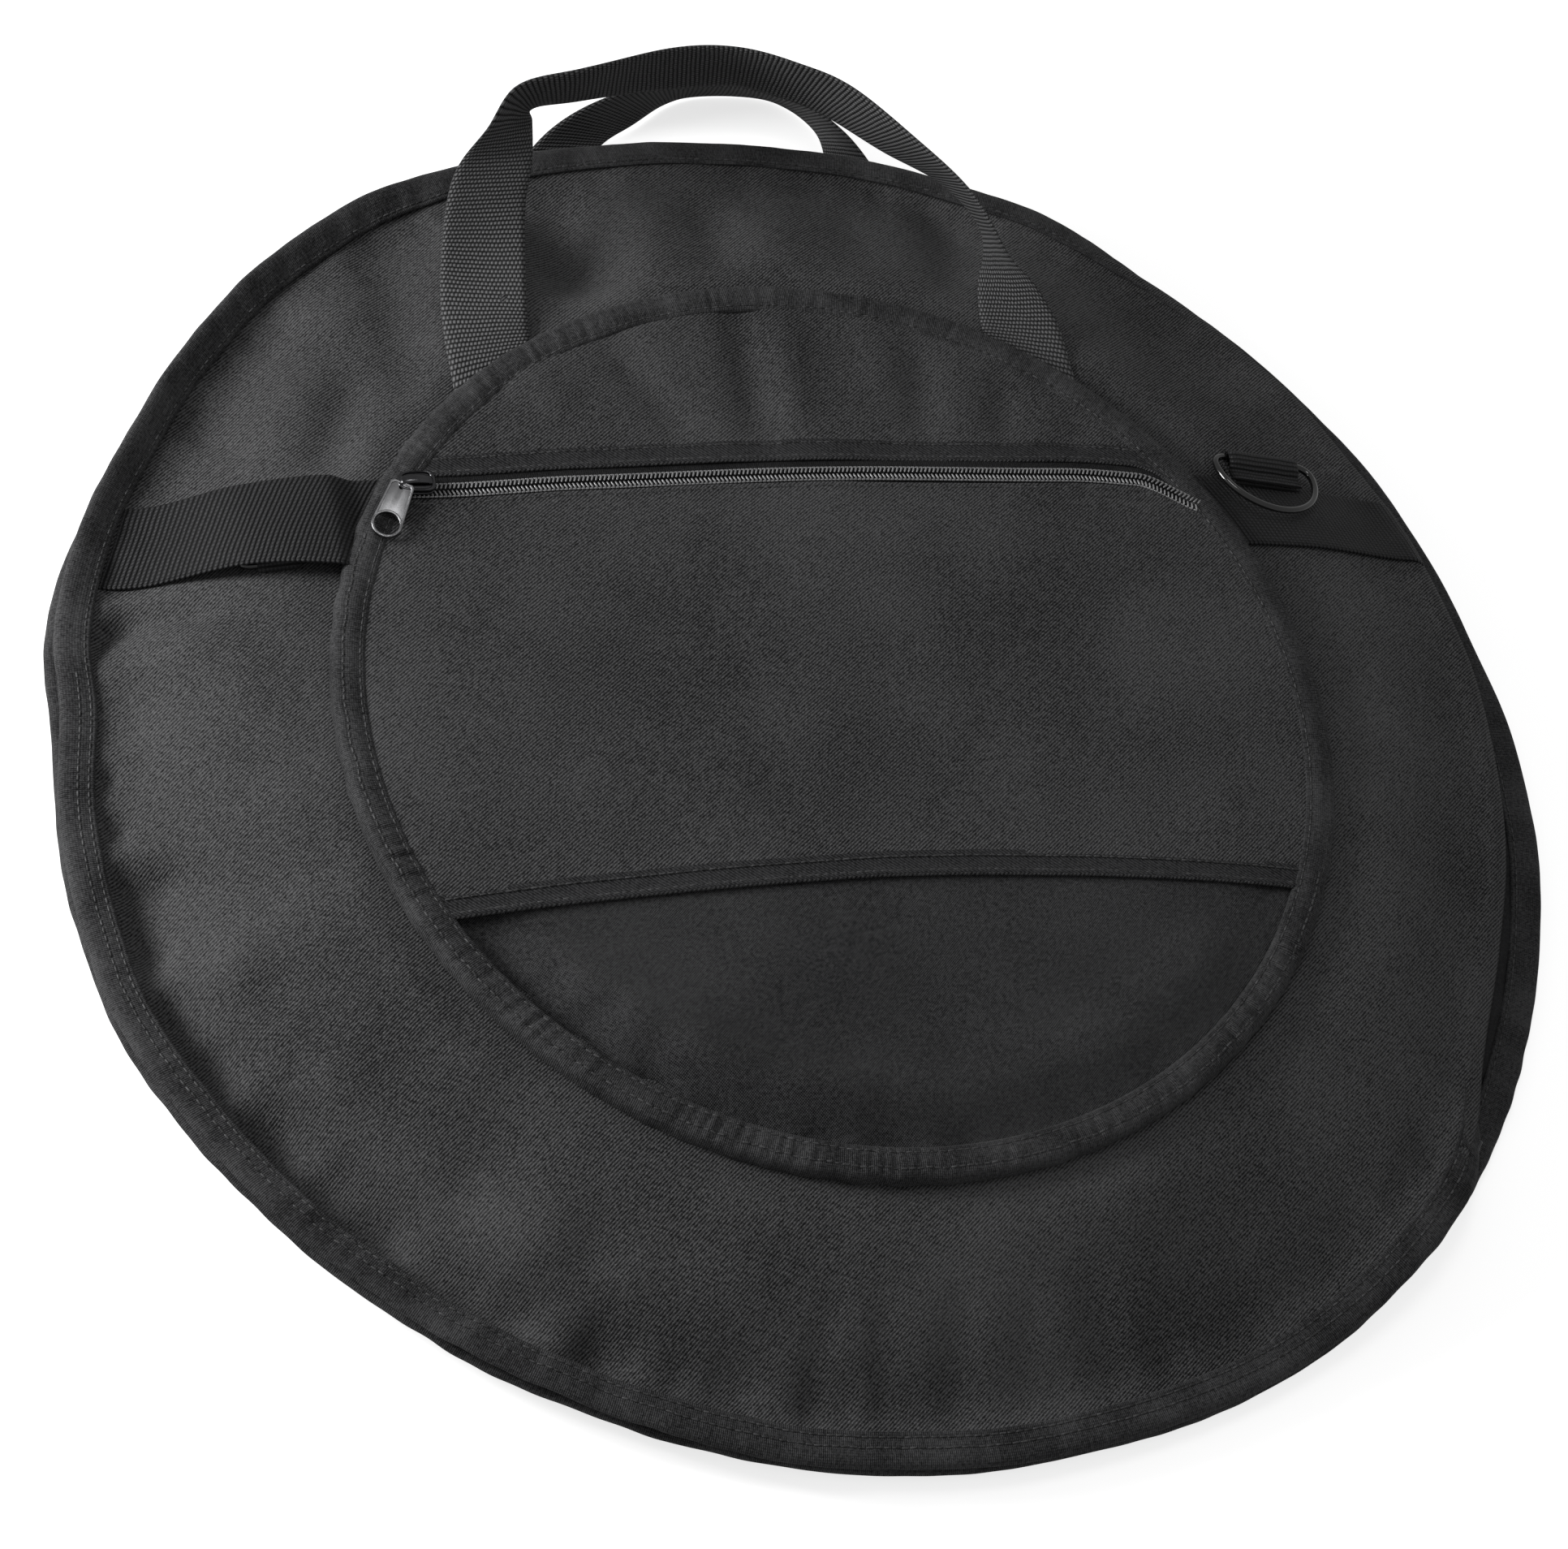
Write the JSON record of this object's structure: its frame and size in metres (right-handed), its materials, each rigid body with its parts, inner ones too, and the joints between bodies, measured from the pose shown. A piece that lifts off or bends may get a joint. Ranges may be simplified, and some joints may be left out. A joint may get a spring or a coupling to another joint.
{
  "type": "cymbal bag",
  "caption": "Round padded black cymbal bag with a zip round its rim, a zipped round front pocket for hi-hats, two webbing handles and strap rings.",
  "frame": {"origin": "centre of the round back face, in the plane that it lies on", "axes": "+Z out of the front, +Y towards the handles, +X to the right seen from the front"},
  "size_m": [0.61, 0.6462, 0.091],
  "materials": {
    "shell_cloth": "matt black twill",
    "foam": "closed-cell foam sheet",
    "lining_cloth": "plain black lining",
    "binding_tape": "folded ribbed tape, stitched",
    "zip_tape": "fine woven tape",
    "zip_coil": "glossy black nylon coil",
    "pocket_cloth": "matt black twill",
    "pocket_lower_cloth": "plain-weave black cloth",
    "webbing": "ribbed woven webbing",
    "black_wire": "glossy black round wire",
    "slider_metal": "glossy black with worn bright edges",
    "pull_metal": "satin silver, cast"
  },
  "bodies": {
    "back": {"back_panel": "shell_cloth", "back_padding": "foam", "back_lining": "lining_cloth", "back_binding": "binding_tape", "main_zip_tape_back": "zip_tape", "main_zip_teeth_back": "zip_coil"},
    "lid": {"front_panel": "shell_cloth", "front_padding": "foam", "front_lining": "lining_cloth", "front_binding": "binding_tape", "main_zip_tape_front": "zip_tape", "main_zip_teeth_front": "zip_coil", "cross_band_left": "webbing", "cross_band_right": "webbing", "d_ring_loop_left": "webbing", "d_ring_loop_right": "webbing", "pocket_binding": "binding_tape", "pocket_upper_panel": "pocket_cloth", "pocket_main_panel": "pocket_cloth", "pocket_lower_panel": "pocket_lower_cloth", "pocket_zip_tape_upper": "zip_tape", "pocket_zip_tape_lower": "zip_tape", "pocket_zip_teeth_upper": "zip_coil", "pocket_zip_teeth_lower": "zip_coil"},
    "front_handle": {"front_handle": "webbing"},
    "back_handle": {"back_handle": "webbing"},
    "pocket_slider": {"pocket_zip_slider": "slider_metal"},
    "pocket_pull": {"pocket_zip_pull": "pull_metal"},
    "main_slider": {"main_zip_slider": "slider_metal"},
    "main_pull": {"main_zip_pull": "pull_metal"},
    "d_ring_left": {"d_ring_left": "black_wire"},
    "d_ring_right": {"d_ring_right": "black_wire"}
  },
  "joints": [
    {"name": "lid_hinge", "type": "hinge", "parent": "back", "child": "lid", "pos_m": [-0.1349, -0.27355, 0.00735], "axis": [0.8969, -0.4423, 0], "range_deg": [0, 10]},
    {"name": "front_handle_hinge", "type": "hinge", "parent": "lid", "child": "front_handle", "pos_m": [0, 0.17794, 0.0414], "axis": [1, 0, 0], "range_deg": [0, 100]},
    {"name": "back_handle_hinge", "type": "hinge", "parent": "back", "child": "back_handle", "pos_m": [0, 0.262, 0.001], "axis": [-1, 0, 0], "range_deg": [0, 150]},
    {"name": "pocket_slider_slide", "type": "slide", "parent": "lid", "child": "pocket_slider", "axis": [1, 0, 0], "range_m": [0, 0.31]},
    {"name": "pocket_pull_swing", "type": "hinge", "parent": "pocket_slider", "child": "pocket_pull", "pos_m": [-0.16221, 0.1045, 0.0511], "axis": [0, 0, 1], "range_deg": [-12, 52]},
    {"name": "main_slider_travel", "type": "hinge", "parent": "back", "child": "main_slider", "pos_m": [0, 0, 0.01305], "axis": [0, 0, 1], "range_deg": [0, 209]},
    {"name": "main_pull_swing", "type": "hinge", "parent": "main_slider", "child": "main_pull", "pos_m": [0.22605, -0.19649, 0.01305], "axis": [0, 0, 1], "range_deg": [0, 140]},
    {"name": "d_ring_right_swing", "type": "hinge", "parent": "lid", "child": "d_ring_right", "pos_m": [0.20656, 0.114, 0.041], "axis": [-0.9724, 0, 0.2334], "range_deg": [0, 160]},
    {"name": "d_ring_left_swing", "type": "hinge", "parent": "lid", "child": "d_ring_left", "pos_m": [-0.21352, 0.0715, 0.0421], "axis": [0.9823, 0, 0.1875], "range_deg": [0, 3.5]}
  ]
}
